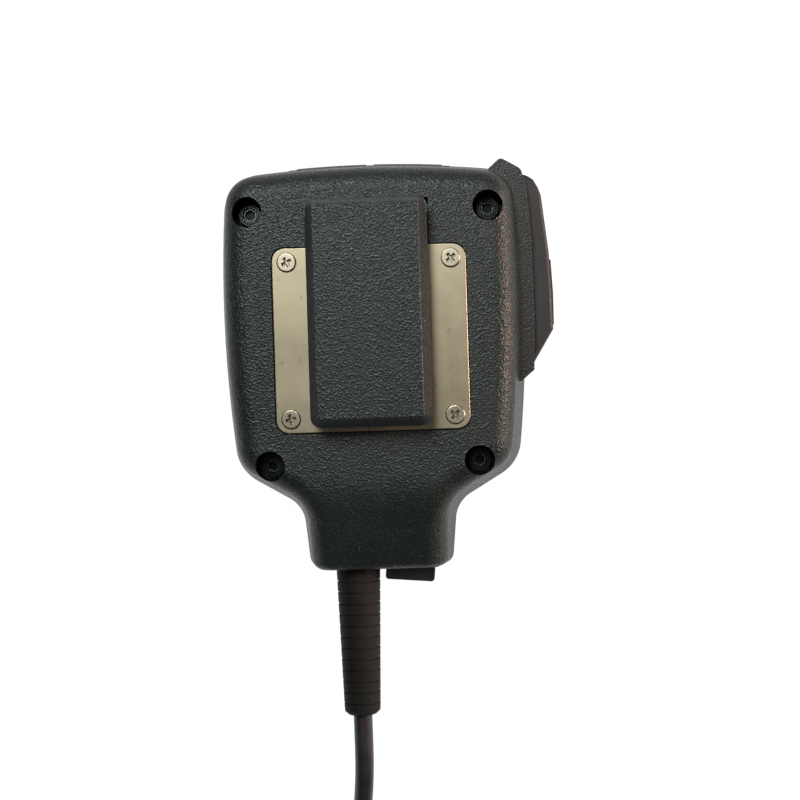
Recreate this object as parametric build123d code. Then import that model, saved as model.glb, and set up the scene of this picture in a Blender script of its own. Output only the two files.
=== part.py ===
from build123d import *
import math
import os

# A hand microphone for amateur radio gear, lying on its front face. All lengths are millimetres.
# The origin is on the flat front face, on the casing's centre line. +X is towards the talk lever,
# +Y towards the top keys, away from the cord, and +Z out of the back, which carries the belt clip.

# ---- casing ----
PART_Z = 17.0          # plane where the two covers meet
BACK_Z = 33.0          # flat of the back
WALL = 2.2
SEAM = 0.24            # open line between the covers
SEAM_DEPTH = 1.0
TOP_Y = 49.3           # crown of the top edge
END_Y = -48.5          # flat end of the neck
CORNER = (35.4, 46.97)
BELLY = (36.85, 17.0)  # widest point of the side
SHOULDER = (34.2, -24.4)
THROAT = (18.8, -33.5)
NECK = (16.6, -56.0)   # on the neck's side line, past its cut end
CORNER_R = 9.5
SHOULDER_R = 10.0
THROAT_R = 7.5
NECK_END_R = 2.8
REAR_DRAFT = 12.0
FRONT_DRAFT = 8.0
REAR_EDGE_R = 5.5
FRONT_EDGE_R = 4.0
SLOPE_Y = -30.0        # the back falls away towards the neck's end from here
SLOPE_DROP = 6.5
SLOPE_BLEND_R = 25.0

# ---- screws that hold the covers together: M3 socket heads in deep counterbores ----
CASE_SCREWS = [(-28.1, 36.5), (28.1, 36.5), (-24.5, -22.9), (24.5, -22.9)]
COUNTERBORE_R = 3.6
SCREW_SEAT_Z = 24.6
M3_R = 1.5
M3_CLEAR_R = 1.7
M3_HEAD_R = 2.75
M3_HEAD_H = 3.0
M3_HEX = 2.5
M3_LENGTH = 14.0
BOSS_R = 4.8
INSERT_R = 2.3
INSERT_LENGTH = 6.0

# ---- clip plate and its screws ----
PLATE_Y = 6.25
PLATE_SIZE = (45.3, 43.3)
PLATE_T = 1.2
PLATE_R = 3.1
PLATE_GAP = 0.2
PLATE_SCREW_PITCH = (38.2, 36.5)
PLATE_SCREW_R = 1.25
PLATE_HEAD_R = 2.3
PLATE_HEAD_RISE = 0.45
PLATE_SCREW_LENGTH = 7.5
PLATE_SCREW_TURNS = (15.0, 28.0, 48.0, 38.0)
PAD_Z = 28.0           # inner face of the thick pad behind the plate

# ---- belt clip ----
CLIP_Y = (-14.2, 38.5)
CLIP_BASE_W = 28.0
CLIP_UNDER_Z = 38.4
CLIP_TOP_Z = 42.2
CLIP_SIDE_SLOPE = 1.9  # how far each side leans in over the arm's thickness
CLIP_CORNER_R = 2.6
CLIP_ROOT_T = 4.3
CLIP_FOOT_T = 1.6
CLIP_LIP_T = 3.0
CLIP_LIP_Z = 35.2
CHANNEL_GAP = 0.25

# ---- talk lever and its frame ----
LEVER_Z = 16.2         # mid-plane of the lever
LEVER_W = 11.0
FRAME_W = 15.6
FRAME_IN_X = 33.0
LEVER_SLOT_X = 34.2
LEVER_SLOT_Y = (-0.7, 45.7)
LEVER_IN_X = 37.2
PIVOT = (36.4, 41.6)
PIVOT_R = 0.8
RUN_GAP = 0.05         # radial running clearance on small pins
PLUNGER_Y = 14.0
PLUNGER_R = 1.2
GRIP_Y = (8.9, 24.7)
GRIP_W = 8.0
LEVER_OUTLINE = [
    (37.2, 45.2), (38.5, 44.8), (39.6, 44.0), (40.7, 42.0), (41.35, 40.1), (41.55, 38.1), (42.8, 26.4),
    (43.25, 17.0), (43.35, 7.8), (38.5, -0.15), (LEVER_IN_X, 0.2), (LEVER_IN_X, 37.6), (34.6, 40.0),
    (34.6, 43.4), (35.9, 44.9),
]

# ---- keys in the top edge ----
KEY_FRAME_W = 39.0
KEY_FRAME_H = 9.6
KEY_FRAME_RISE = 0.15
KEY_W = 16.6
KEY_H = 6.2
KEY_RISE = 0.35
KEY_X = 9.3
KEY_GAP = 0.2
KEY_BACK_Y = 45.4
KEY_BOARD_Y = (41.4, 42.6)

# ---- rocker switch in the neck's end ----
ROCKER_X = 7.2
ROCKER_PIVOT_Y = -47.1
ROCKER_R = 6.1
ROCKER_FACE_Y = -51.97
ROCKER_W = 7.2
ROCKER_TILT = 5.0
ROCKER_PIN_R = 0.75

# ---- grille, capsule and board behind the front face ----
GRILLE_Y = 14.0
GRILLE_R = 17.0
GRILLE_PITCH = 4.0
SLOT_W = 1.7
CAPSULE_R = 4.85
CAPSULE_Z = (3.6, 9.8)
BOARD_Z = 11.0
BOARD_T = 1.6
BOARD_X = (-24.0, 30.5)
BOARD_Y = (-16.0, 28.0)
BOARD_SCREWS = [(-21.0, -13.0), (-21.0, 25.0), (27.2, -13.0), (27.2, 25.0)]

# ---- cord ----
CORD_X = -5.9
CORD_R = 2.3
CORD_INNER_Y = -36.0
SADDLE_Y = (-43.5, -38.0)
SADDLE_W = 12.4
CLAMP_TOP = PART_Z + 3.6
BOOT_R = 5.35
BOOT_LENGTH = 36.0
BOOT_TAPER = 0.0275    # radius lost per millimetre
BOOT_BAND = 3.2
RING_PITCH = 2.7
RING_GROOVE = 0.5
RING_DEPTH = 0.4
COIL_R = 6.75
FILLET_SHARE = 0.45    # share of the shorter run that an arc takes

NEAR_TAIL = [
    (CORD_X, END_Y - BOOT_LENGTH, PART_Z), (-5.9, -101.2, 15.7), (-8.2, -117.0, 9.4),
    (-14.3, -131.0, 3.8), (-22.5, -143.5, 3.2), (-29.0, -156.0, COIL_R),
]
COIL_ROUTE = [
    (-29.0, -156.0, COIL_R), (-34.5, -181.0, COIL_R), (-34.0, -209.0, COIL_R), (-21.0, -233.0, COIL_R),
    (3.5, -243.5, COIL_R), (28.0, -234.5, COIL_R), (39.0, -211.5, COIL_R), (36.6, -186.4, COIL_R),
]
PLUG_X = 31.0
PLUG_Z = 9.3
PLUG_REAR_Y = -159.0   # where the cord goes into the plug's boot
FAR_TAIL = [
    (36.6, -186.4, COIL_R), (35.2, -179.0, 6.4), (32.4, -172.0, 8.1), (31.0, -165.5, PLUG_Z),
    (PLUG_X, PLUG_REAR_Y, PLUG_Z),
]

# ---- plug ----
PLUG_BOOT_L = 16.0
PLUG_SHELL_R = 7.4
PLUG_SHELL_L = 24.0
COLLAR_R = 9.3
COLLAR_L = 15.0
PLUG_PIN_COUNT = 7
PLUG_SHELL_Y = PLUG_REAR_Y + PLUG_BOOT_L
COLLAR_Y = PLUG_SHELL_Y + 12.0
INSERT_Y = (PLUG_SHELL_Y + 16.0, PLUG_SHELL_Y + PLUG_SHELL_L - 1.0)


def box(x, y, z):
    """Box between two limits on each axis."""
    centre = ((x[0] + x[1]) / 2, (y[0] + y[1]) / 2, (z[0] + z[1]) / 2)
    return Pos(*centre) * Box(x[1] - x[0], y[1] - y[0], z[1] - z[0])


def span(middle, width):
    """Two limits a width apart about a middle."""
    return (middle - width / 2, middle + width / 2)


def rod_z(x, y, z, radius):
    """Round bar along Z between two heights."""
    return Pos(x, y, (z[0] + z[1]) / 2) * Cylinder(radius, z[1] - z[0])


def rod_y(x, z, y, radius):
    """Round bar along Y."""
    return Pos(x, (y[0] + y[1]) / 2, z) * Rot(90, 0, 0) * Cylinder(radius, y[1] - y[0])


def rod_x(y, z, x, radius):
    """Round bar along X."""
    return Pos((x[0] + x[1]) / 2, y, z) * Rot(0, 90, 0) * Cylinder(radius, x[1] - x[0])


def slab(points, z):
    """Polygon in plan, raised between two heights."""
    face = make_face(Polyline(*points, close=True))
    return extrude(Pos(0, 0, z[0]) * face, amount=z[1] - z[0], dir=(0, 0, 1))


def mirrored(point):
    return (-point[0], point[1])


def outline(grow=0.0):
    """Plan of the casing at the parting plane, moved outwards by a distance."""
    crown = ThreePointArc(CORNER, (0, TOP_Y), mirrored(CORNER))
    left = ThreePointArc(mirrored(CORNER), mirrored(BELLY), mirrored(SHOULDER))
    low = Polyline(mirrored(SHOULDER), mirrored(THROAT), mirrored(NECK), NECK, THROAT, SHOULDER)
    right = ThreePointArc(SHOULDER, BELLY, CORNER)
    face = Face(Wire([crown, left] + low.edges() + [right]))
    if grow:
        face = offset(face, amount=grow, kind=Kind.INTERSECTION).face()
    rounds = ((CORNER, CORNER_R + grow), (SHOULDER, SHOULDER_R + grow), (THROAT, THROAT_R - grow))
    for place, radius in rounds:
        spots = (place, mirrored(place))
        pair = [face.vertices().sort_by_distance(Vector(*spot, 0))[0] for spot in spots]
        face = fillet(pair, radius).face()
    return face


def tapered(face, height, draft):
    return extrude(face, amount=height, taper=draft)


def upper_edges(form, height):
    """Edges around the flat of a form that stands on Z = 0, without those of its cut end."""
    edges = []
    for edge in form.edges():
        limits = edge.bounding_box()
        across = abs(limits.center().X) < 0.01 and limits.size.Y < 0.01
        if limits.min.Z > height / 2 and not across:
            edges.append(edge)
    return edges


def half_form(inset, height, draft, edge_r, end_r, drop):
    """One half of the casing as a solid block: plan at Z = 0, flat face at the top."""
    end_y = END_Y + inset
    form = tapered(outline(-inset), height, draft)
    form -= box((-60, 60), (end_y - 30, end_y), (-1, height + 1))
    if drop:
        angle = math.degrees(math.atan2(drop, SLOPE_Y - END_Y))
        tilted = Pos(0, SLOPE_Y, height) * Rot(angle, 0, 0) * box((-60, 60), (-60, 30), (0, 40))
        form -= tilted & box((-60, 60), (SLOPE_Y - 60, SLOPE_Y), (-1, height + 40))
        crease = form.edges().filter_by(Axis.X).sort_by_distance(Vector(0, SLOPE_Y, height))[0]
        form = fillet([crease], SLOPE_BLEND_R)
    form = fillet(upper_edges(form, height), edge_r)
    end_edges = [e for e in form.edges() if e.bounding_box().max.Y < end_y + 0.01 and e.center().Z > 0.01]
    return fillet(end_edges, end_r)


def rear_form(inset, edge_r, end_r):
    base = PART_Z + SEAM / 2
    return Pos(0, 0, base) * half_form(inset, BACK_Z - base - inset, REAR_DRAFT, edge_r, end_r, SLOPE_DROP)


def front_form(inset, edge_r, end_r):
    height = PART_Z - SEAM / 2 - inset
    form = half_form(inset, height, FRONT_DRAFT, edge_r, end_r, 0)
    return Pos(0, 0, PART_Z - SEAM / 2) * mirror(form, about=Plane.XY)


def casing_skin(rise):
    """Side surface of the casing moved outwards, near the parting plane."""
    reach = 9.0
    upper = Pos(0, 0, PART_Z) * tapered(outline(rise), reach, REAR_DRAFT)
    lower = Pos(0, 0, PART_Z) * mirror(tapered(outline(rise), reach, FRONT_DRAFT), about=Plane.XY)
    return upper + lower


def case_screw_holes(radius, z):
    return [rod_z(x, y, z, radius) for x, y in CASE_SCREWS]


def plate_screw_places():
    for side in (-1, 1):
        for end in (-1, 1):
            yield side * PLATE_SCREW_PITCH[0] / 2, PLATE_Y + end * PLATE_SCREW_PITCH[1] / 2


def rounded_plate(width, length, radius, z):
    face = Pos(0, PLATE_Y, z[0]) * RectangleRounded(width, length, radius)
    return extrude(face, amount=z[1] - z[0])


# ---- openings that both covers share ----

def frame_block():
    """Talk lever's frame as a solid block, with its pointed upper end and slanted lower end."""
    points = [
        (27.8, 45.7), (31.6, 49.1), (36.5, 46.3), (37.8, 41.2), (38.55, 29.6), (38.7, 8.0),
        (38.3, -2.0), (35.2, -4.6), (FRAME_IN_X, -4.6), (FRAME_IN_X, 38.6), (29.6, 43.4),
    ]
    block = slab(points, span(LEVER_Z, FRAME_W))
    for (x, y), radius in (((31.6, 49.1), 1.2), ((36.5, 46.3), 2.0), ((37.8, 41.2), 2.0)):
        corner = block.edges().filter_by(Axis.Z).sort_by_distance(Vector(x, y, LEVER_Z))[0]
        block = fillet([corner], radius)
    return block


def key_frame_window():
    return box(span(0, KEY_FRAME_W), (KEY_BACK_Y, 60), span(PART_Z, KEY_FRAME_H))


def shared_cuts():
    cord_hole = rod_y(CORD_X, PART_Z, (END_Y - 5, END_Y + 6), BOOT_R - 0.65)
    rocker_hole = box(span(ROCKER_X, 13.2), (END_Y - 5, END_Y + 3), span(PART_Z, 8.3))
    return [frame_block(), key_frame_window(), cord_hole, rocker_hole]


# ---- covers ----

def rear_cover():
    outer = rear_form(0, REAR_EDGE_R, NECK_END_R)
    cover = outer - rear_form(WALL, REAR_EDGE_R - WALL, 1.2)
    pad = box(span(0, PLATE_SIZE[0] + 5), (-18.5, 41.5), (PAD_Z, BACK_Z))
    bosses = case_screw_holes(BOSS_R, (PART_Z + SEAM / 2, BACK_Z))
    plate_bosses = [rod_z(x, y, (24.5, BACK_Z), 2.9) for x, y in plate_screw_places()]
    cover += outer & (pad + bosses + plate_bosses)
    gap = 2 * PLATE_GAP
    recess = rounded_plate(PLATE_SIZE[0] + gap, PLATE_SIZE[1] + gap, PLATE_R + PLATE_GAP,
                           (BACK_Z - PLATE_T, BACK_Z + 1))
    foot_z = BACK_Z - PLATE_T - CLIP_FOOT_T
    channel_y = (-12.9, CLIP_Y[1] + CHANNEL_GAP)
    channel = box(span(0, CLIP_BASE_W + 2 * CHANNEL_GAP), channel_y, (foot_z, BACK_Z + 1))
    cover -= [recess, channel]
    cover -= case_screw_holes(COUNTERBORE_R, (SCREW_SEAT_Z, BACK_Z + 1))
    cover -= case_screw_holes(M3_CLEAR_R, (PART_Z - 1, BACK_Z))
    screw_z = (BACK_Z - PLATE_SCREW_LENGTH, BACK_Z)
    cover -= [rod_z(x, y, screw_z, PLATE_SCREW_R) for x, y in plate_screw_places()]
    return cover - shared_cuts()


def grille_slots():
    slots = []
    for row in range(-3, 4):
        y = row * GRILLE_PITCH
        half = math.sqrt(GRILLE_R ** 2 - y ** 2) - 1.5
        face = Pos(0, GRILLE_Y + y, -1) * SlotOverall(2 * half, SLOT_W)
        slots.append(extrude(face, amount=WALL + 2))
    return slots


def front_cover():
    outer = front_form(0, FRONT_EDGE_R, NECK_END_R)
    cover = outer - front_form(WALL, FRONT_EDGE_R - WALL, 1.2)
    rim = extrude(outline(-SEAM_DEPTH), amount=SEAM) - extrude(outline(-WALL), amount=SEAM)
    rim &= box((-60, 60), (END_Y + SEAM_DEPTH, 60), (0, SEAM))
    cover += Pos(0, 0, PART_Z - SEAM / 2) * rim
    floor = WALL - 0.5
    bosses = case_screw_holes(BOSS_R - 0.4, (floor, PART_Z + SEAM / 2))
    posts = [rod_z(x, y, (floor, BOARD_Z), 2.6) for x, y in BOARD_SCREWS]
    saddle = box(span(CORD_X, SADDLE_W), SADDLE_Y, (floor, PART_Z))
    cover += bosses + posts + [saddle]
    cover -= case_screw_holes(INSERT_R, (PART_Z - INSERT_LENGTH, PART_Z + 1))
    cover -= case_screw_holes(M3_CLEAR_R, (SCREW_SEAT_Z - M3_LENGTH - 0.6, PART_Z))
    cover -= [rod_z(x, y, (BOARD_Z - 5.0, BOARD_Z + 1), 0.95) for x, y in BOARD_SCREWS]
    cover -= rod_y(CORD_X, PART_Z, (SADDLE_Y[0] - 2, SADDLE_Y[1] + 2), CORD_R)
    cover -= [rod_z(x, y, (PART_Z - 5.0, PART_Z + 1), 0.95) for x, y in clamp_screw_places()]
    cover -= grille_slots()
    return cover - shared_cuts()


# ---- fasteners ----

def hex_socket(across_flats, z, depth):
    face = Pos(0, 0, z - depth) * Rot(0, 0, 30) * RegularPolygon(across_flats / math.sqrt(3), 6)
    return extrude(face, amount=depth + 1)


def case_screws():
    top = SCREW_SEAT_Z + M3_HEAD_H
    head = rod_z(0, 0, (SCREW_SEAT_Z, top), M3_HEAD_R)
    head = chamfer(head.edges().group_by(Axis.Z)[-1], 0.25)
    screw = head + rod_z(0, 0, (SCREW_SEAT_Z - M3_LENGTH, SCREW_SEAT_Z), M3_R)
    screw -= hex_socket(M3_HEX, top, 1.7)
    mouth = Pos(0, 0, top - 0.175) * Cone(1.45, 1.8, 0.35)
    screw -= mouth
    return [Pos(x, y, 0) * screw for x, y in CASE_SCREWS]


def case_inserts():
    top = PART_Z + SEAM / 2 - 0.1
    insert = rod_z(0, 0, (top - INSERT_LENGTH + 0.3, top), INSERT_R)
    insert -= rod_z(0, 0, (0, PART_Z + 2), M3_R)
    return [Pos(x, y, 0) * insert for x, y in CASE_SCREWS]


def cross_recess(size, depth):
    """Four-winged recess that narrows downwards from Z = 0."""
    wing = extrude(Rectangle(size, size * 0.3), amount=-depth, taper=12)
    return wing + Rot(0, 0, 90) * wing


def plate_screw():
    rise = rod_z(0, 0, (BACK_Z, BACK_Z + PLATE_HEAD_RISE), PLATE_HEAD_R)
    rise = fillet(rise.edges().group_by(Axis.Z)[-1], PLATE_HEAD_RISE * 0.8)
    cone_h = PLATE_HEAD_R - PLATE_SCREW_R
    cone = Pos(0, 0, BACK_Z - cone_h / 2) * Cone(PLATE_SCREW_R, PLATE_HEAD_R, cone_h)
    shank = rod_z(0, 0, (BACK_Z - PLATE_SCREW_LENGTH, BACK_Z - cone_h), PLATE_SCREW_R)
    screw = rise + cone + shank
    return screw - Pos(0, 0, BACK_Z + PLATE_HEAD_RISE) * cross_recess(2.5, 1.1)


def plate_screws():
    screw = plate_screw()
    places = zip(plate_screw_places(), PLATE_SCREW_TURNS)
    return [Pos(x, y, 0) * Rot(0, 0, turn) * screw for (x, y), turn in places]


def clip_plate():
    plate = rounded_plate(PLATE_SIZE[0], PLATE_SIZE[1], PLATE_R, (BACK_Z - PLATE_T, BACK_Z))
    plate = fillet(plate.edges().group_by(Axis.Z)[-1], 0.3)
    cone_h = PLATE_HEAD_R - PLATE_SCREW_R
    for x, y in plate_screw_places():
        plate -= rod_z(x, y, (BACK_Z - 2, BACK_Z + 1), PLATE_SCREW_R)
        plate -= Pos(x, y, BACK_Z - cone_h / 2) * Cone(PLATE_SCREW_R, PLATE_HEAD_R, cone_h)
    return plate


def belt_clip():
    middle = (CLIP_Y[0] + CLIP_Y[1]) / 2
    length = CLIP_Y[1] - CLIP_Y[0]
    thick = CLIP_TOP_Z - CLIP_UNDER_Z
    base = Pos(0, middle, CLIP_UNDER_Z) * RectangleRounded(CLIP_BASE_W, length, CLIP_CORNER_R)
    arm = extrude(base, amount=thick, taper=math.degrees(math.atan2(CLIP_SIDE_SLOPE, thick)))
    arm = fillet(arm.edges().group_by(Axis.Z)[-1], 0.5)
    foot_z = BACK_Z - PLATE_T - CLIP_FOOT_T
    root_y = CLIP_Y[1] - CLIP_ROOT_T
    root = box(span(0, CLIP_BASE_W), (root_y, CLIP_Y[1]), (foot_z, CLIP_UNDER_Z + 1.0))
    root = fillet(root.edges().filter_by(Axis.Z).group_by(Axis.Y)[-1], CLIP_CORNER_R)
    root -= Pos(0, 0, CLIP_UNDER_Z) * box((-40, 40), (0, 60), (0.5, 9))
    foot = box(span(0, CLIP_BASE_W - 1.6), (-12.5, root_y + 1), (foot_z, foot_z + CLIP_FOOT_T))
    lip_y = CLIP_Y[0] + 0.8
    lip = box(span(0, CLIP_BASE_W - 3.0), (lip_y, lip_y + CLIP_LIP_T), (CLIP_LIP_Z, CLIP_UNDER_Z + 0.5))
    lip = fillet(lip.edges().filter_by(Axis.X).group_by(Axis.Z)[0], 1.3)
    bend_r = 2.0
    width = span(0, CLIP_BASE_W - 1.0)
    bend = box(width, (root_y - bend_r, root_y + 1), (CLIP_UNDER_Z - bend_r, CLIP_UNDER_Z + 1))
    bend -= rod_x(root_y - bend_r, CLIP_UNDER_Z - bend_r, (-20, 20), bend_r)
    return arm + root + foot + lip + bend


# ---- talk lever ----

def lever_frame():
    frame = frame_block()
    slot = box((LEVER_SLOT_X, 60), LEVER_SLOT_Y, span(LEVER_Z, LEVER_W + 0.5))
    frame -= slot
    frame -= rod_x(PLUNGER_Y, LEVER_Z, (20, 40), PLUNGER_R + 0.08)
    return frame - rod_z(*PIVOT, span(LEVER_Z, FRAME_W - 1.2), PIVOT_R)


def lever_pin():
    return rod_z(*PIVOT, span(LEVER_Z, FRAME_W - 1.2), PIVOT_R)


def lever_body():
    lever = slab(LEVER_OUTLINE, span(LEVER_Z, LEVER_W))
    rims = [e for e in lever.edges() if e.center().X > 38.0 and abs(e.center().Z - LEVER_Z) > 1]
    lever = fillet(rims, 1.0)
    return lever


def grip_form(shrink, rise):
    """Block that follows the outer face of the lever between the ends of the grip pad."""
    low, high = GRIP_Y[0] + shrink, GRIP_Y[1] - shrink
    points = [(42.4, low), (43.25 + rise, low), (43.25 + rise, 17.0), (42.88 + rise, high), (42.4, high)]
    return slab(points, span(LEVER_Z, GRIP_W - 2 * shrink))


def talk_lever():
    lever = lever_body() - grip_form(0, 5)
    hollow = box((LEVER_IN_X - 1, 40.6), (21.0, 35.0), span(LEVER_Z, LEVER_W - 3.2))
    lever -= hollow
    return lever - rod_z(*PIVOT, span(LEVER_Z, 40), PIVOT_R + RUN_GAP)


def lever_grip():
    pad = grip_form(0.02, 0.35)
    face_edges = [e for e in pad.edges() if e.center().X > 43.1]
    return fillet(face_edges, 0.15)


def lever_spring():
    """Leaf spring from the floor of the frame to the inner face of the lever."""
    outer_side = [(34.5, 34.0), (34.5, 27.5), (36.75, 19.2), (37.1, 18.0), (36.75, 16.9)]
    inner_side = [(36.45, 17.0), (36.77, 18.0), (36.45, 19.0), (34.2, 27.3), (34.2, 34.0)]
    return slab(outer_side + inner_side, span(LEVER_Z, 5.0))


def talk_switch():
    body = box((22.0, 31.4), span(PLUNGER_Y, 12.8), (BOARD_Z + BOARD_T, BOARD_Z + BOARD_T + 6.6))
    body = chamfer(body.edges().filter_by(Axis.X), 0.4)
    return body - rod_x(PLUNGER_Y, LEVER_Z, (28.4, 40), PLUNGER_R + 0.08)


def talk_plunger():
    plunger = rod_x(PLUNGER_Y, LEVER_Z, (30.6, LEVER_IN_X - 0.2), PLUNGER_R)
    return fillet(plunger.edges().group_by(Axis.X)[-1], 0.8)


# ---- top keys ----

def key_frame():
    frame = casing_skin(KEY_FRAME_RISE) & key_frame_window()
    for side in (-1, 1):
        across = span(side * KEY_X, KEY_W + 2 * KEY_GAP)
        frame -= box(across, (KEY_BACK_Y - 1, 60), span(PART_Z, KEY_H + 2 * KEY_GAP))
    return frame


def key(side):
    cap = casing_skin(KEY_RISE) & box(span(side * KEY_X, KEY_W), (KEY_BACK_Y - 0.8, 60), span(PART_Z, KEY_H))
    flange_y = (KEY_BACK_Y - 0.8, KEY_BACK_Y - 0.05)
    flange = box(span(side * KEY_X, KEY_W + 1.2), flange_y, span(PART_Z, KEY_H + 1.8))
    return cap + flange


def key_board():
    return box(span(0, 37.0), KEY_BOARD_Y, span(PART_Z, 10.0))


def key_pad():
    """Rubber sheet with one dome under each key."""
    pad = box(span(0, 36.0), (KEY_BOARD_Y[1], KEY_BOARD_Y[1] + 0.8), span(PART_Z, 9.0))
    for side in (-1, 1):
        y = KEY_BOARD_Y[1] + 0.8
        dome = Pos(side * KEY_X, y + 0.45, PART_Z) * Rot(-90, 0, 0) * Cone(3.4, 2.2, 0.9)
        pad += dome
    return pad


# ---- rocker switch ----

def rocker_key():
    """Two-position rocker, with round flanks about its pin, tipped to one side."""
    reach = 1.5
    half = math.sqrt(ROCKER_R ** 2 - reach ** 2)
    face_y = ROCKER_FACE_Y - ROCKER_PIVOT_Y
    chamfer_size = 0.5
    right = [(half, -reach), (half, face_y + chamfer_size), (half - chamfer_size, face_y)]
    left = [mirrored(p) for p in reversed(right)]
    sides = Polyline(*right, *left)
    round_left = ThreePointArc((-half, -reach), (-ROCKER_R, 0), (-half, reach))
    over = Line((-half, reach), (half, reach))
    round_right = ThreePointArc((half, reach), (ROCKER_R, 0), (half, -reach))
    profile = make_face(sides.edges() + [round_left, over, round_right])
    block = extrude(profile, amount=ROCKER_W / 2, both=True)
    block -= rod_z(0, 0, (-10, 10), ROCKER_PIN_R + RUN_GAP)
    return Pos(ROCKER_X, ROCKER_PIVOT_Y, PART_Z) * Rot(0, 0, -ROCKER_TILT) * block


def rocker_housing():
    body = box(span(ROCKER_X, 13.2), (END_Y + WALL, -39.5), span(PART_Z, 8.8))
    rim = box(span(ROCKER_X, 13.2), (END_Y - 0.4, END_Y + WALL + 0.5), span(PART_Z, 8.3))
    well = box(span(ROCKER_X, 12.5), (END_Y - 3, -43.0), span(PART_Z, ROCKER_W + 0.3))
    housing = body + rim - well
    return housing - rod_z(ROCKER_X, ROCKER_PIVOT_Y, span(PART_Z, 8.3), ROCKER_PIN_R)


def rocker_pin():
    return rod_z(ROCKER_X, ROCKER_PIVOT_Y, span(PART_Z, 8.2), ROCKER_PIN_R)


def rocker_terminals():
    return [box(span(ROCKER_X + 4.2 * i, 0.5), (-39.5, -35.5), span(PART_Z, 2.0)) for i in (-1, 0, 1)]


# ---- microphone capsule, board and wiring ----

def grille_cloth():
    return rod_z(0, GRILLE_Y, (WALL, WALL + 0.4), GRILLE_R + 0.5)


def capsule():
    body = rod_z(0, GRILLE_Y, CAPSULE_Z, CAPSULE_R)
    body = fillet(body.edges(), 0.4)
    return body - rod_z(0, GRILLE_Y, (CAPSULE_Z[0] - 1, CAPSULE_Z[0] + 0.5), 1.2)


def capsule_holder():
    cup = rod_z(0, GRILLE_Y, (WALL + 0.4, CAPSULE_Z[1] - 0.8), CAPSULE_R + 2.2)
    cup -= rod_z(0, GRILLE_Y, (CAPSULE_Z[0], 20), CAPSULE_R)
    return cup - rod_z(0, GRILLE_Y, (0, 20), CAPSULE_R - 1.2)


def circuit_board():
    board = box(BOARD_X, BOARD_Y, (BOARD_Z, BOARD_Z + BOARD_T))
    return board - [rod_z(x, y, (0, 30), 1.1) for x, y in BOARD_SCREWS]


def small_screw(x, y, seat, length):
    screw = rod_z(x, y, (seat, seat + 1.3), 1.9)
    screw = fillet(screw.edges().group_by(Axis.Z)[-1], 0.6)
    screw += rod_z(x, y, (seat - length, seat), 0.95)
    return screw - Pos(x, y, seat + 1.3) * cross_recess(2.0, 0.7)


def board_screws():
    return [small_screw(x, y, BOARD_Z + BOARD_T, 6.0) for x, y in BOARD_SCREWS]


def board_parts():
    top = BOARD_Z + BOARD_T
    chip = box(span(-6.0, 8.7), span(2.0, 3.9), (top, top + 1.5))
    can = rod_z(-15.0, 12.0, (top, top + 7.0), 3.1)
    socket = box(span(-5.0, 18.0), (-15.2, -10.4), (top, top + 5.8))
    trimmer = box(span(9.0, 4.5), span(16.0, 4.5), (top, top + 2.4))
    return [chip, can, socket, trimmer]


def clamp_screw_places():
    y = (SADDLE_Y[0] + SADDLE_Y[1]) / 2
    return [(CORD_X - 4.3, y), (CORD_X + 4.3, y)]


def cord_clamp():
    strap = box(span(CORD_X, SADDLE_W), SADDLE_Y, (PART_Z, CLAMP_TOP))
    strap = fillet(strap.edges().filter_by(Axis.Y).group_by(Axis.Z)[-1], 1.2)
    strap -= rod_y(CORD_X, PART_Z, (-60, -20), CORD_R)
    return strap - [rod_z(x, y, (0, 40), 1.1) for x, y in clamp_screw_places()]


def clamp_screws():
    return [small_screw(x, y, CLAMP_TOP, 8.0) for x, y in clamp_screw_places()]


def tube(points, radius, name):
    """Round tube on straight runs joined by tangent arcs as large as the runs allow."""
    spots = [Vector(*p) for p in points]
    runs = [b - a for a, b in zip(spots, spots[1:])]
    radii = []
    for first, second in zip(runs, runs[1:]):
        half_turn = math.radians(first.get_angle(second)) / 2
        radii.append(FILLET_SHARE * min(first.length, second.length) / math.tan(half_turn))
    path = FilletPolyline(*spots, radius=radii)
    section = Plane(origin=spots[0], z_dir=runs[0]) * Circle(radius)
    body = sweep(section, path=path)
    share = body.volume / (math.pi * radius ** 2 * path.length)
    print(f"{name}: length {path.length:.1f}, volume share {share:.4f}, radii", [round(r, 1) for r in radii])
    return body


def lead_wires():
    wires = []
    for i in range(4):
        x = CORD_X - 1.5 + i
        run = [(x, CORD_INNER_Y, PART_Z), (x, -29.0 - i, PART_Z + 1.0), (-11.0 + 4 * i, -21.0, 15.5),
               (-11.0 + 4 * i, -15.2, 15.5)]
        wires.append(tube(run, 0.45, f"lead wire {i}"))
    return wires


# ---- cord ----

def revolved(profile, x, y, z):
    """Solid of revolution about Y from points of radius and distance along +Y."""
    face = make_face(Polyline(*profile, close=True))
    return Pos(x, y, z) * revolve(face, axis=Axis.Y)


def strain_relief():
    throat_r = BOOT_R - 0.65
    points = [(CORD_R, WALL + 2.0), (6.0, WALL + 2.0), (6.0, WALL), (throat_r, WALL), (throat_r, 0)]
    points += [(BOOT_R, 0)]
    along = BOOT_BAND
    while along < BOOT_LENGTH - 2.0:
        radius = BOOT_R - BOOT_TAPER * along
        points += [(radius, -along), (radius - RING_DEPTH, -along - 0.1)]
        points += [(radius - RING_DEPTH, -along - RING_GROOVE + 0.1), (radius, -along - RING_GROOVE)]
        along += RING_PITCH
    tip = BOOT_R - BOOT_TAPER * BOOT_LENGTH
    points += [(tip, -BOOT_LENGTH + 0.8), (tip - 0.8, -BOOT_LENGTH), (CORD_R, -BOOT_LENGTH)]
    return revolved(points, CORD_X, END_Y, PART_Z)


def inner_lead():
    return rod_y(CORD_X, PART_Z, (END_Y - BOOT_LENGTH, CORD_INNER_Y), CORD_R)


# ---- plug ----

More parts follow.
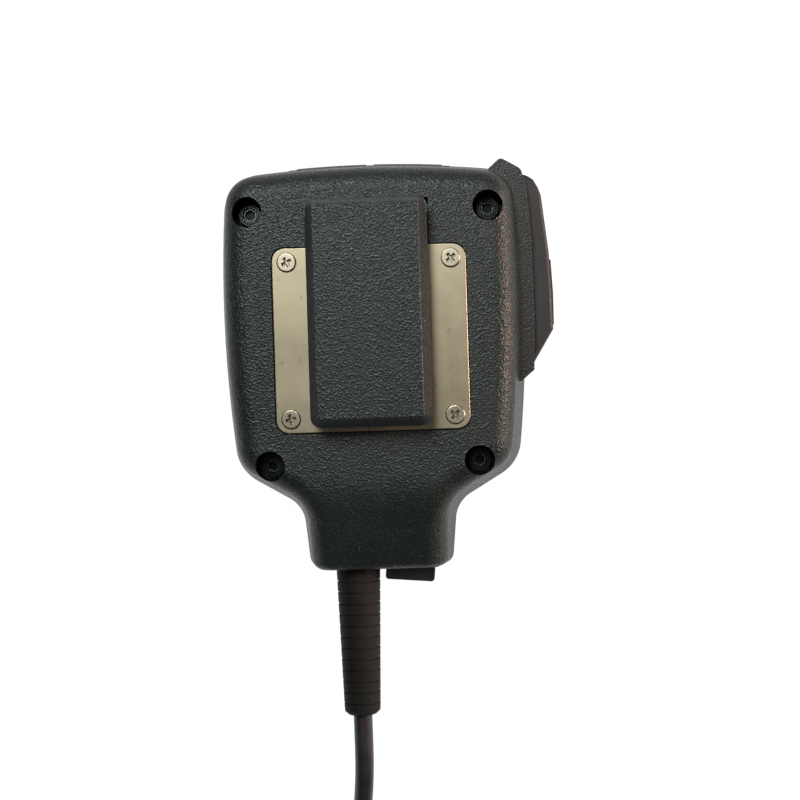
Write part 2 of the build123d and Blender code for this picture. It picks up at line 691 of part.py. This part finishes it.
def plug_boot():
    points = [(CORD_R, 0.0), (2.9, 0.0), (3.1, 0.5)]
    for ring in range(4):
        y = 1.8 + 2.8 * ring
        points += [(3.3 + 0.25 * ring, y), (2.9 + 0.25 * ring, y + 0.2), (2.9 + 0.25 * ring, y + 0.8),
                   (3.4 + 0.25 * ring, y + 1.0)]
    points += [(4.4, PLUG_BOOT_L - 2.5), (4.4, PLUG_BOOT_L + 2.0), (CORD_R, PLUG_BOOT_L + 2.0)]
    return revolved(points, PLUG_X, PLUG_REAR_Y, PLUG_Z)


def plug_shell():
    """Metal shell: a rear gland for the boot, a barrel and a shoulder that holds the ring."""
    outside = [(4.4, 0.0), (5.6, 0.0), (6.0, 0.4), (6.0, 4.0), (7.9, 4.6), (8.3, 5.2), (8.3, 11.9)]
    shoulder = [(PLUG_SHELL_R, 11.9), (PLUG_SHELL_R, 15.6), (7.95, 15.6), (7.95, 16.6), (6.9, 16.6)]
    inside = [(6.9, PLUG_SHELL_L), (6.2, PLUG_SHELL_L), (6.2, 14.0), (5.4, 14.0), (5.4, 2.0), (4.4, 2.0)]
    return revolved(outside + shoulder + inside, PLUG_X, PLUG_SHELL_Y, PLUG_Z)


def plug_collar():
    """Threaded ring that turns on the shell behind the shoulder."""
    bore_r = PLUG_SHELL_R + 0.08
    outside = [(bore_r, 0.15), (8.9, 0.15), (COLLAR_R, 0.6), (COLLAR_R, COLLAR_L - 0.6), (8.9, COLLAR_L)]
    inside = [(7.7, COLLAR_L), (7.7, 8.0), (8.05, 8.0), (8.05, 3.4), (bore_r, 3.4)]
    ring = revolved(outside + inside, PLUG_X, COLLAR_Y, PLUG_Z)
    flutes = 24
    for i in range(flutes):
        turn = 360 * i / flutes
        bar = Rot(0, turn, 0) * Pos(COLLAR_R + 0.25, 5.8, 0) * Rot(90, 0, 0) * Cylinder(0.55, 8.4)
        ring -= Pos(PLUG_X, COLLAR_Y, PLUG_Z) * bar
    return ring


def plug_pin_places():
    for i in range(PLUG_PIN_COUNT):
        turn = math.radians(360 * i / PLUG_PIN_COUNT + 90)
        yield PLUG_X + 3.9 * math.cos(turn), PLUG_Z + 3.9 * math.sin(turn)
    yield PLUG_X, PLUG_Z


def plug_insert():
    insert = rod_y(PLUG_X, PLUG_Z, INSERT_Y, 6.2)
    return insert - [rod_y(x, z, (INSERT_Y[0] - 1, INSERT_Y[1] + 1), 0.6) for x, z in plug_pin_places()]


def plug_pins():
    pins = []
    for x, z in plug_pin_places():
        pin = rod_y(x, z, (INSERT_Y[0] - 2.5, INSERT_Y[1] + 4.2), 0.6)
        pins.append(fillet(pin.edges().group_by(Axis.Y)[-1], 0.4))
    return pins


def main():
    nodes = {
        "front_cover": front_cover(),
        "rear_cover": rear_cover(),
        "case_screws": case_screws(),
        "case_inserts": case_inserts(),
        "clip_plate": clip_plate(),
        "plate_screws": plate_screws(),
        "belt_clip": belt_clip(),
        "lever_frame": lever_frame(),
        "lever_pin": lever_pin(),
        "talk_lever": talk_lever(),
        "lever_grip": lever_grip(),
        "lever_spring": lever_spring(),
        "talk_switch": talk_switch(),
        "talk_plunger": talk_plunger(),
        "key_frame": key_frame(),
        "key_left": key(-1),
        "key_right": key(1),
        "key_board": key_board(),
        "key_pad": key_pad(),
        "rocker_key": rocker_key(),
        "rocker_housing": rocker_housing(),
        "rocker_pin": rocker_pin(),
        "rocker_terminals": rocker_terminals(),
        "grille_cloth": grille_cloth(),
        "capsule": capsule(),
        "capsule_holder": capsule_holder(),
        "circuit_board": circuit_board(),
        "board_screws": board_screws(),
        "board_parts": board_parts(),
        "cord_clamp": cord_clamp(),
        "clamp_screws": clamp_screws(),
        "lead_wires": lead_wires(),
        "strain_relief": strain_relief(),
        "inner_lead": inner_lead(),
        "cord_near_tail": tube(NEAR_TAIL, CORD_R, "near tail"),
        "cord_coil": tube(COIL_ROUTE, COIL_R, "coil"),
        "cord_far_tail": tube(FAR_TAIL, CORD_R, "far tail"),
        "plug_boot": plug_boot(),
        "plug_shell": plug_shell(),
        "plug_collar": plug_collar(),
        "plug_insert": plug_insert(),
        "plug_pins": plug_pins(),
    }
    os.makedirs("parts", exist_ok=True)
    for name, shape in nodes.items():
        solids = shape if isinstance(shape, list) else [shape]
        export_step(Compound(children=solids), f"parts/{name}.step")


main()
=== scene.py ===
import math

import bpy
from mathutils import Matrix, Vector


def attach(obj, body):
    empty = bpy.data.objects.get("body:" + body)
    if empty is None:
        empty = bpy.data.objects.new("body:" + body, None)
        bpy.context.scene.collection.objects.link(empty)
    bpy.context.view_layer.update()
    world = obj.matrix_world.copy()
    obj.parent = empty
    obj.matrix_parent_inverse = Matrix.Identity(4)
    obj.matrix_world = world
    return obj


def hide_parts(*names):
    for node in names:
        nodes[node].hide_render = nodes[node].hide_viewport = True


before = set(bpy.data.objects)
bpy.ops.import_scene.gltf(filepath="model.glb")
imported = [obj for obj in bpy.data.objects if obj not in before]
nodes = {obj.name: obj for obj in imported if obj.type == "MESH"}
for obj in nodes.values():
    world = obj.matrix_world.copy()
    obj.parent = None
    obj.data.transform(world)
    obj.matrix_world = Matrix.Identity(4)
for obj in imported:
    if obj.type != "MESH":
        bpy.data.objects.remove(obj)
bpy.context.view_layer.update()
scene = bpy.context.scene

MM = 0.001
GUIDE_STEPS = 24      # points along each span of the coil's middle line
CORD_STEPS = 4        # points along each span of the cord
CORD_SIDES = 6        # roundness of the cord's section
FLOOR_DROP = 0.00005  # keeps the floor off the face that the object lies on

# ---------------------------------------------------------------- camera

CAMERA_PLACE = (0.02098, -0.00825, 0.333)
CAMERA_TURN = math.radians(-1.77)
LENS_SHIFT = (-0.07875, -0.0025)
LENS_LENGTH = 58.05   # millimetres
SENSOR_WIDTH = 36.0   # millimetres

lens = bpy.data.cameras.new("camera")
lens.sensor_width = SENSOR_WIDTH
lens.lens = LENS_LENGTH
lens.shift_x, lens.shift_y = LENS_SHIFT
camera = bpy.data.objects.new("camera", lens)
camera.location = CAMERA_PLACE
camera.rotation_euler = (0, 0, CAMERA_TURN)
scene.collection.objects.link(camera)
scene.camera = camera

# ---------------------------------------------------------------- cord

CORD_DIAMETER = 4.6 * MM
HELIX_R = 4.42 * MM
HELIX_TURNS = 33.5
HELIX_START = math.radians(-90)
POINTS_PER_TURN = 14

# Points that the cord follows, in millimetres.
BOOT_END = (-5.9, -84.5, 17.0)
NEAR_TAIL = [
    (-5.9, -80.5, 17.0), BOOT_END, (-5.9, -101.2, 15.7), (-8.2, -117.0, 9.4), (-14.3, -131.0, 3.8),
    (-18.6, -143.6, 2.7), (-21.3, -150.6, 2.4), (-23.1, -153.7, 2.33), (-24.7, -155.25, 2.33),
    (-26.8, -156.05, 2.33),
]
COIL_ROUTE = [
    (-29.0, -156.0, 6.75), (-34.5, -181.0, 6.75), (-34.0, -209.0, 6.75), (-21.0, -233.0, 6.75),
    (3.5, -243.5, 6.75), (28.0, -234.5, 6.75), (39.0, -211.5, 6.75), (36.6, -186.4, 6.75),
]
FAR_TAIL = [
    (34.4, -186.0, 11.15), (32.6, -184.7, 11.1), (31.3, -182.9, 11.0), (30.9, -180.7, 10.8),
    (30.9, -176.5, 10.2), (31.0, -171.5, 9.5), (31.0, -165.5, 9.3), (31.0, -156.0, 9.3),
]


def metres(points):
    return [Vector(p) * MM for p in points]


def nurbs(name, points):
    curve = bpy.data.curves.new(name, "CURVE")
    curve.dimensions = "3D"
    spline = curve.splines.new("NURBS")
    spline.points.add(len(points) - 1)
    for spot, place in zip(spline.points, points):
        spot.co = (*place, 1.0)
    spline.order_u = 3
    spline.use_endpoint_u = True
    piece = bpy.data.objects.new(name, curve)
    scene.collection.objects.link(piece)
    return piece


def line_of(piece):
    """Points along a curve that has no bevel."""
    depsgraph = bpy.context.evaluated_depsgraph_get()
    mesh = bpy.data.meshes.new_from_object(piece.evaluated_get(depsgraph))
    line = [v.co.copy() for v in mesh.vertices]
    bpy.data.meshes.remove(mesh)
    return line


def at_shares(line, shares):
    """Places and directions at shares of a line's length."""
    steps = [0.0]
    for a, b in zip(line, line[1:]):
        steps.append(steps[-1] + (b - a).length)
    found = []
    i = 0
    for share in shares:
        want = share * steps[-1]
        while i < len(line) - 2 and steps[i + 1] < want:
            i += 1
        part = (want - steps[i]) / (steps[i + 1] - steps[i])
        found.append((line[i].lerp(line[i + 1], part), (line[i + 1] - line[i]).normalized()))
    return found


def helix(line):
    """Turns about a line, from its underside at the near end to its top at the far end."""
    count = round(HELIX_TURNS * POINTS_PER_TURN)
    # A quadratic spline runs inside its control points by this share of the radius.
    inside = (6 + 2 * math.cos(2 * math.pi / POINTS_PER_TURN)) / 8
    radius = HELIX_R / inside
    points = []
    for i, (place, along) in enumerate(at_shares(line, [k / count for k in range(count + 1)])):
        angle = HELIX_START + 2 * math.pi * i / POINTS_PER_TURN
        side = along.cross(Vector((0, 0, 1))).normalized()
        up = side.cross(along)
        points.append(place + (side * math.cos(angle) + up * math.sin(angle)) * radius)
    return points


guide = nurbs("coil_guide", metres(COIL_ROUTE))
guide.data.resolution_u = GUIDE_STEPS
coil_line = line_of(guide)
bpy.data.objects.remove(guide)

cord_route = nurbs("cord_route", metres(NEAR_TAIL) + helix(coil_line) + metres(FAR_TAIL))
cord_route.data.resolution_u = CORD_STEPS
cord_line = line_of(cord_route)
cord_route.data.bevel_depth = CORD_DIAMETER / 2
cord_route.data.bevel_resolution = CORD_SIDES
cord_route.data.use_fill_caps = True
bpy.context.view_layer.update()
drawn = cord_route.evaluated_get(bpy.context.evaluated_depsgraph_get())
cord = bpy.data.objects.new("curly_cord", bpy.data.meshes.new_from_object(drawn))
scene.collection.objects.link(cord)
bpy.data.objects.remove(cord_route)
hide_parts("cord_near_tail", "cord_coil", "cord_far_tail")
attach(cord, "casing")

# ---------------------------------------------------------------- material helpers


class Graph:
    """A material's node tree, with short calls for what the materials here share."""

    def __init__(self, name):
        self.material = bpy.data.materials.new(name)
        self.material.use_nodes = True
        self.tree = self.material.node_tree
        self.shader = self.tree.nodes["Principled BSDF"]
        self.coords = self.tree.nodes.new("ShaderNodeTexCoord").outputs["Object"]

    def add(self, kind, inputs=None, **settings):
        node = self.tree.nodes.new(kind)
        for key, value in settings.items():
            setattr(node, key, value)
        for key, value in (inputs or {}).items():
            self.feed(node.inputs[key], value)
        return node

    def feed(self, socket, value):
        if isinstance(value, bpy.types.NodeSocket):
            self.tree.links.new(value, socket)
        else:
            socket.default_value = value

    def set(self, **inputs):
        for key, value in inputs.items():
            self.feed(self.shader.inputs[key.replace("_", " ")], value)

    def stretched(self, scale):
        """Object coordinates multiplied by a factor on each axis."""
        return self.add("ShaderNodeVectorMath", {0: self.coords, 1: scale}, operation="MULTIPLY").outputs[0]

    def noise(self, scale, detail=2.0, rough=0.5, vector=None, distortion=0.0):
        inputs = {
            "Vector": vector or self.coords, "Scale": scale, "Detail": detail,
            "Roughness": rough, "Distortion": distortion,
        }
        return self.add("ShaderNodeTexNoise", inputs).outputs["Fac"]

    def cells(self, scale, vector=None, feature="F1"):
        inputs = {"Vector": vector or self.coords, "Scale": scale}
        return self.add("ShaderNodeTexVoronoi", inputs, feature=feature).outputs["Distance"]

    def math(self, operation, a, b=0.0):
        return self.add("ShaderNodeMath", {0: a, 1: b}, operation=operation).outputs[0]

    def remap(self, value, low, high, to_low=0.0, to_high=1.0):
        inputs = {"Value": value, "From Min": low, "From Max": high, "To Min": to_low, "To Max": to_high}
        return self.add("ShaderNodeMapRange", inputs).outputs["Result"]

    def mix(self, factor, a, b):
        node = self.add("ShaderNodeMix", data_type="RGBA")
        self.feed(node.inputs["Factor"], factor)
        for socket, value in ((node.inputs[6], a), (node.inputs[7], b)):
            self.feed(socket, (*value, 1.0) if isinstance(value, tuple) else value)
        return node.outputs[2]

    def bump(self, height, distance, strength=1.0):
        inputs = {"Height": height, "Distance": distance, "Strength": strength}
        return self.add("ShaderNodeBump", inputs).outputs["Normal"]

    def edges(self, radius, sharpness=0.12):
        """1 at convex and concave edges, 0 on flat and gently curved faces."""
        bevel = self.add("ShaderNodeBevel", {"Radius": radius}, samples=4).outputs["Normal"]
        plain = self.add("ShaderNodeNewGeometry").outputs["Normal"]
        dot = self.add("ShaderNodeVectorMath", {0: bevel, 1: plain}, operation="DOT_PRODUCT").outputs["Value"]
        return self.remap(dot, 1.0, 1.0 - sharpness)


def grained(name, dark, light, grain=2200.0, depth=0.00021, rough=(0.34, 0.52), wear=0.5):
    """Moulded plastic with a spark-eroded grain, handled smooth on its edges."""
    g = Graph(name)
    flow = g.stretched((1.0, 1.12, 1.05))
    pebbles = g.noise(grain, 2.0, 0.5, flow, 0.25)
    cells = g.cells(grain * 0.95, flow, "SMOOTH_F1")
    height = g.math("ADD", g.math("MULTIPLY", pebbles, 0.5), g.math("MULTIPLY", cells, 0.8))
    blotches = g.noise(70.0, 3.0, 0.6)
    peaks = g.remap(height, 0.40, 0.80)
    colour = g.mix(peaks, dark, light)
    patchy = g.mix(g.remap(blotches, 0.35, 0.7, 0.0, 0.35), colour, tuple(0.7 * c for c in dark))
    edge = g.math("MULTIPLY", g.edges(0.0007), wear)
    worn = g.math("MULTIPLY", edge, g.remap(g.noise(420.0, 3.0), 0.35, 0.65))
    final = g.mix(worn, patchy, tuple(min(1.0, 2.2 * c + 0.012) for c in light))
    dust = g.math("GREATER_THAN", g.noise(2300.0, 0.0), 0.86)
    g.set(Base_Color=g.mix(g.math("MULTIPLY", dust, 0.5), final, (0.35, 0.36, 0.34)))
    g.set(Roughness=g.remap(g.math("ADD", peaks, blotches), 0.5, 1.6, rough[1], rough[0]))
    g.set(Normal=g.bump(height, depth, 1.0))
    g.shader.inputs["Specular IOR Level"].default_value = 0.36
    return g.material


def satin(name, colour, rough=0.36, spread=0.12, depth=0.00002):
    """Smooth moulded plastic with faint rub marks."""
    g = Graph(name)
    haze = g.noise(160.0, 4.0, 0.6)
    rubs = g.noise(900.0, 3.0, 0.6, g.stretched((1.0, 0.12, 1.0)))
    shade = g.mix(g.remap(haze, 0.3, 0.7), tuple(0.75 * c for c in colour), tuple(1.3 * c for c in colour))
    worn = g.math("MULTIPLY", g.edges(0.0004), g.remap(rubs, 0.4, 0.65, 0.1, 0.55))
    g.set(Base_Color=g.mix(worn, shade, tuple(2.6 * c + 0.01 for c in colour)))
    g.set(Roughness=g.remap(g.math("ADD", haze, rubs), 0.7, 1.3, rough - spread / 2, rough + spread / 2))
    g.set(Normal=g.bump(g.math("ADD", rubs, g.noise(2600.0, 2.0)), depth, 0.6))
    return g.material


def rubber(name, colour, rough=0.62, depth=0.00005):
    """Moulded rubber with a fine matt skin and dust in its low places."""
    g = Graph(name)
    skin = g.noise(2400.0, 3.0, 0.65)
    haze = g.noise(130.0, 4.0, 0.6)
    shade = g.mix(g.remap(haze, 0.3, 0.7), tuple(0.7 * c for c in colour), tuple(1.35 * c for c in colour))
    dusty = g.math("MULTIPLY", g.edges(0.0004), g.remap(skin, 0.45, 0.65, 0.0, 0.5))
    g.set(Base_Color=g.mix(dusty, shade, tuple(2.4 * c + 0.02 for c in colour)))
    g.set(Roughness=g.remap(skin, 0.3, 0.7, rough - 0.08, rough + 0.1))
    g.set(Normal=g.bump(skin, depth, 0.8))
    g.shader.inputs["Specular IOR Level"].default_value = 0.22
    return g.material


def metal(name, colour, rough=0.3, spread=0.12, stretch=(1.0, 1.0, 1.0), bright=None, wear=0.4):
    """Bare or plated metal with brush lines, dull spots and brighter edges."""
    bright = bright or tuple(min(1.0, 1.35 * c) for c in colour)
    grime = tuple(0.3 * c for c in colour)
    g = Graph(name)
    lines = g.noise(1900.0, 4.0, 0.65, g.stretched(stretch))
    haze = g.noise(95.0, 4.0, 0.6)
    spots = g.remap(g.noise(520.0, 2.0), 0.66, 0.74, 0.0, 0.45)
    low, high = (tuple(min(1.0, share * c) for c in colour) for share in (0.88, 1.08))
    tone = g.mix(g.remap(haze, 0.3, 0.7), low, high)
    spotted = g.mix(spots, tone, grime)
    # Edges take the bright colour: worn metal, and on the black steel also a painted highlight along the hex
    # socket rims.
    g.set(Base_Color=g.mix(g.math("MULTIPLY", g.edges(0.00016), wear), spotted, bright))
    g.set(Metallic=1.0)
    g.set(Roughness=g.remap(g.math("ADD", lines, haze), 0.7, 1.3, rough - spread / 2, rough + spread / 2))
    g.set(Normal=g.bump(lines, 0.00001, 0.5))
    return g.material


def board(name, colour):
    """Circuit board: solder mask over copper tracks."""
    g = Graph(name)
    brick = g.add("ShaderNodeTexBrick", {
        "Vector": g.coords, "Scale": 260.0, "Mortar Size": 0.06, "Mortar Smooth": 0.4,
        "Brick Width": 1.4, "Row Height": 0.5,
    }).outputs["Fac"]
    shade = g.mix(brick, colour, tuple(1.7 * c + 0.01 for c in colour))
    stain = g.remap(g.noise(240.0, 3.0), 0.4, 0.7, 0.0, 0.3)
    g.set(Base_Color=g.mix(stain, shade, tuple(0.6 * c for c in colour)))
    g.set(Roughness=g.remap(g.noise(700.0), 0.3, 0.7, 0.22, 0.36))
    g.set(Normal=g.bump(brick, 0.00004, 0.6))
    return g.material


def cloth(name, colour):
    """Open acoustic weave."""
    g = Graph(name)
    inputs = {"Vector": g.coords, "Scale": 700.0}
    warp = g.add("ShaderNodeTexWave", inputs, bands_direction="X").outputs["Fac"]
    weft = g.add("ShaderNodeTexWave", inputs, bands_direction="Y").outputs["Fac"]
    weave = g.math("MAXIMUM", warp, weft)
    g.set(Base_Color=g.mix(weave, tuple(0.4 * c for c in colour), tuple(1.8 * c + 0.005 for c in colour)))
    g.set(Roughness=g.remap(g.noise(900.0), 0.3, 0.7, 0.8, 0.95))
    g.set(Normal=g.bump(weave, 0.00008, 0.8))
    g.shader.inputs["Sheen Weight"].default_value = 0.3
    return g.material


# ---------------------------------------------------------------- materials

CASING = grained("casing_plastic", (0.0026, 0.0044, 0.0040), (0.014, 0.0215, 0.019))
CLIP = grained("clip_plastic", (0.0026, 0.0042, 0.0048), (0.0125, 0.0185, 0.0205))
FRAME = grained("frame_plastic", (0.003, 0.003, 0.0028), (0.018, 0.0172, 0.016), 2400.0, 0.00010)
LEVER = satin("lever_plastic", (0.0035, 0.0032, 0.003), 0.58)
KEYS = satin("key_rubber", (0.016, 0.016, 0.017), 0.5)
GRIP = rubber("grip_rubber", (0.010, 0.0072, 0.0066), 0.7)
BOOT = rubber("boot_rubber", (0.0045, 0.0042, 0.004), 0.68)
ROCKER = satin("rocker_plastic", (0.004, 0.0045, 0.006), 0.34)
SWITCH = satin("switch_plastic", (0.015, 0.015, 0.016), 0.42)
JACKET = satin("cord_jacket", (0.016, 0.015, 0.015), 0.42)
PLATE = metal("plate_steel", (0.285, 0.243, 0.168), 0.42, 0.1, (1.0, 0.25, 1.0))
SCREW = metal("plate_screw_steel", (0.34, 0.295, 0.225), 0.36, 0.14)
PLATED = metal("screw_steel", (0.74, 0.71, 0.66), 0.26, 0.14)
# The edge colour here is far lighter than worn black oxide alone: partly edge wear, partly a painted
# highlight on the rims of the hex sockets.
BLACK_STEEL = metal("black_steel", (0.010, 0.011, 0.012), 0.34, 0.12, bright=(0.22, 0.23, 0.225), wear=0.9)
BRASS = metal("brass", (0.72, 0.55, 0.26), 0.32)
SPRING = metal("spring_steel", (0.6, 0.59, 0.56), 0.28)
NICKEL = metal("nickel_plate", (0.70, 0.69, 0.66), 0.24, 0.12, (1.0, 0.2, 1.0))
TIN = metal("tin", (0.75, 0.73, 0.68), 0.34)
CAN = metal("capsule_can", (0.7, 0.7, 0.69), 0.3)
INSULATOR = satin("insulator", (0.05, 0.038, 0.028), 0.4)
BOARD = board("solder_mask", (0.012, 0.075, 0.035))
PARTS = satin("board_parts", (0.02, 0.02, 0.022), 0.4)
CLOTH = cloth("acoustic_cloth", (0.012, 0.012, 0.012))

LOOKS = {
    "front_cover": CASING, "rear_cover": CASING, "case_screws": BLACK_STEEL, "case_inserts": BRASS,
    "clip_plate": PLATE, "plate_screws": SCREW, "belt_clip": CLIP, "lever_frame": FRAME,
    "lever_pin": SPRING, "talk_lever": LEVER, "lever_grip": GRIP, "lever_spring": SPRING,
    "talk_switch": SWITCH, "talk_plunger": SWITCH, "key_frame": FRAME, "key_left": KEYS,
    "key_right": KEYS, "key_board": BOARD, "key_pad": GRIP, "rocker_key": ROCKER,
    "rocker_housing": SWITCH, "rocker_pin": SPRING, "rocker_terminals": TIN, "grille_cloth": CLOTH,
    "capsule": CAN, "capsule_holder": GRIP, "circuit_board": BOARD, "board_screws": PLATED,
    "board_parts": PARTS, "cord_clamp": SWITCH, "clamp_screws": PLATED, "lead_wires": JACKET,
    "strain_relief": BOOT, "inner_lead": JACKET, "cord_near_tail": JACKET, "cord_coil": JACKET,
    "cord_far_tail": JACKET, "plug_boot": BOOT, "plug_shell": NICKEL, "plug_collar": NICKEL,
    "plug_insert": INSULATOR, "plug_pins": TIN,
}

for name, look in LOOKS.items():
    mesh = nodes[name].data
    mesh.materials.clear()
    mesh.materials.append(look)
cord.data.materials.append(JACKET)

# ---------------------------------------------------------------- floor and light

FLOOR_REACH = 3.0
floor_mesh = bpy.data.meshes.new("floor")
floor_corners = [(x * FLOOR_REACH, y * FLOOR_REACH, 0) for x, y in ((-1, -1), (1, -1), (1, 1), (-1, 1))]
floor_mesh.from_pydata(floor_corners, [], [(0, 1, 2, 3)])
floor = bpy.data.objects.new("floor", floor_mesh)
floor.location = (0, 0, -FLOOR_DROP)
scene.collection.objects.link(floor)
paper = Graph("pale_floor")
fibres = paper.mix(paper.noise(40.0), (0.055, 0.055, 0.055), (0.065, 0.065, 0.065))
paper.set(Base_Color=fibres, Roughness=0.9)
paper.set(Emission_Color=(1.0, 1.0, 1.0, 1.0), Emission_Strength=0.98)
floor_mesh.materials.append(paper.material)


def area_light(name, place, target, size, power, colour):
    light = bpy.data.lights.new(name, "AREA")
    light.shape = "DISK"
    light.size = size
    light.energy = power
    light.color = colour
    lamp = bpy.data.objects.new(name, light)
    lamp.location = place
    lamp.rotation_euler = (Vector(target) - Vector(place)).to_track_quat("-Z", "Y").to_euler()
    scene.collection.objects.link(lamp)


# The light comes from above and past the top edge, with a warm lamp lower down on the lever's side.
# Each lamp has its place, what it points at, its size in metres, its power in watts and its colour.
area_light("overhead", (-0.11, 0.30, 0.58), (0, 0, 0.02), 0.30, 3.8, (0.95, 1.0, 0.985))
area_light("warm_side", (0.58, 0.05, 0.27), (0.02, 0, 0.02), 0.22, 5.4, (1.0, 0.74, 0.63))

# The sky is nearly dark at the sides and brighter straight above.
world = bpy.data.worlds.new("world")
world.use_nodes = True
sky = world.node_tree
above = sky.nodes.new("ShaderNodeTexCoord")
split = sky.nodes.new("ShaderNodeSeparateXYZ")
fade = sky.nodes.new("ShaderNodeMapRange")
sky.links.new(above.outputs["Generated"], split.inputs[0])
sky.links.new(split.outputs["Z"], fade.inputs["Value"])
for socket, value in (("From Min", 0.80), ("From Max", 1.0), ("To Min", 0.02), ("To Max", 0.24)):
    fade.inputs[socket].default_value = value
sky.links.new(fade.outputs["Result"], sky.nodes["Background"].inputs["Strength"])
sky.nodes["Background"].inputs["Color"].default_value = (0.97, 1.0, 0.99, 1.0)
scene.world = world
scene.view_settings.view_transform = "Standard"
